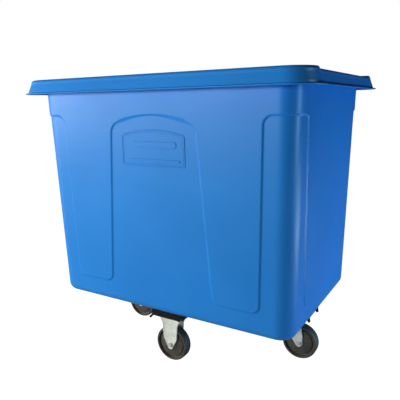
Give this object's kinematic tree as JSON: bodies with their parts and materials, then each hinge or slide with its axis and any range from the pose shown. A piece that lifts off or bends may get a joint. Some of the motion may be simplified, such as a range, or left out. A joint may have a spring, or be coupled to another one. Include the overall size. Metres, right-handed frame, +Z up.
{
  "type": "cube truck",
  "caption": "Deep rectangular moulded tub with a turned-down rim, carried on rigid and swivel casters set in a diamond under its floor.",
  "frame": {"origin": "on the ground under the middle of the rim", "axes": "+X along the tub's long side, towards the end whose swivel wheel stands outermost; +Y across it; +Z up"},
  "size_m": [1.09, 0.78, 0.997],
  "materials": {
    "tub_blue": "moulded polyethylene, satin, slightly mottled",
    "pad_black": "moulded, satin",
    "wheel_dark": "hard moulded, matte",
    "bush_plastic": "moulded, matte",
    "caster_zinc": "bright zinc plate",
    "fastener_zinc": "zinc plate",
    "bright_steel": "polished"
  },
  "bodies": {
    "truck": {"back_axle_bolt": "fastener_zinc", "back_axle_nut": "fastener_zinc", "back_axle_sleeve": "fastener_zinc", "back_fork": "caster_zinc", "back_pad": "pad_black", "back_plate_bolts": "fastener_zinc", "back_plate_nuts": "fastener_zinc", "back_plate_washers": "fastener_zinc", "back_thrust_washers": "fastener_zinc", "front_axle_bolt": "fastener_zinc", "front_axle_nut": "fastener_zinc", "front_axle_sleeve": "fastener_zinc", "front_fork": "caster_zinc", "front_pad": "pad_black", "front_plate_bolts": "fastener_zinc", "front_plate_nuts": "fastener_zinc", "front_plate_washers": "fastener_zinc", "front_thrust_washers": "fastener_zinc", "left_kingpin": "caster_zinc", "left_lower_race": "caster_zinc", "left_pad": "pad_black", "left_plate_bolts": "fastener_zinc", "left_plate_nuts": "fastener_zinc", "left_plate_washers": "fastener_zinc", "left_top_plate": "caster_zinc", "right_kingpin": "caster_zinc", "right_lower_race": "caster_zinc", "right_pad": "pad_black", "right_plate_bolts": "fastener_zinc", "right_plate_nuts": "fastener_zinc", "right_plate_washers": "fastener_zinc", "right_top_plate": "caster_zinc", "tub": "tub_blue"},
    "swivel_left": {"left_axle_bolt": "fastener_zinc", "left_axle_nut": "fastener_zinc", "left_axle_sleeve": "fastener_zinc", "left_lower_balls": "bright_steel", "left_thrust_washers": "fastener_zinc", "left_upper_balls": "bright_steel", "left_yoke": "caster_zinc"},
    "swivel_right": {"right_axle_bolt": "fastener_zinc", "right_axle_nut": "fastener_zinc", "right_axle_sleeve": "fastener_zinc", "right_lower_balls": "bright_steel", "right_thrust_washers": "fastener_zinc", "right_upper_balls": "bright_steel", "right_yoke": "caster_zinc"},
    "wheel_front": {"front_wheel": "wheel_dark", "front_wheel_bush": "bush_plastic"},
    "wheel_back": {"back_wheel": "wheel_dark", "back_wheel_bush": "bush_plastic"},
    "wheel_left": {"left_wheel": "wheel_dark", "left_wheel_bush": "bush_plastic"},
    "wheel_right": {"right_wheel": "wheel_dark", "right_wheel_bush": "bush_plastic"}
  },
  "joints": [
    {"name": "left_swivel", "type": "hinge", "parent": "truck", "child": "swivel_left", "pos_m": [-0.356, 0, 0.168], "axis": [0, 0, 1], "continuous": true},
    {"name": "right_swivel", "type": "hinge", "parent": "truck", "child": "swivel_right", "pos_m": [0.356, 0, 0.168], "axis": [0, 0, 1], "continuous": true},
    {"name": "front_roll", "type": "hinge", "parent": "truck", "child": "wheel_front", "pos_m": [0, -0.234, 0.0635], "axis": [0, 1, 0], "continuous": true},
    {"name": "back_roll", "type": "hinge", "parent": "truck", "child": "wheel_back", "pos_m": [0, 0.234, 0.0635], "axis": [0, 1, 0], "continuous": true},
    {"name": "left_roll", "type": "hinge", "parent": "swivel_left", "child": "wheel_left", "pos_m": [-0.318, 0, 0.0635], "axis": [0, 1, 0], "continuous": true},
    {"name": "right_roll", "type": "hinge", "parent": "swivel_right", "child": "wheel_right", "pos_m": [0.394, 0, 0.0635], "axis": [0, 1, 0], "continuous": true}
  ]
}
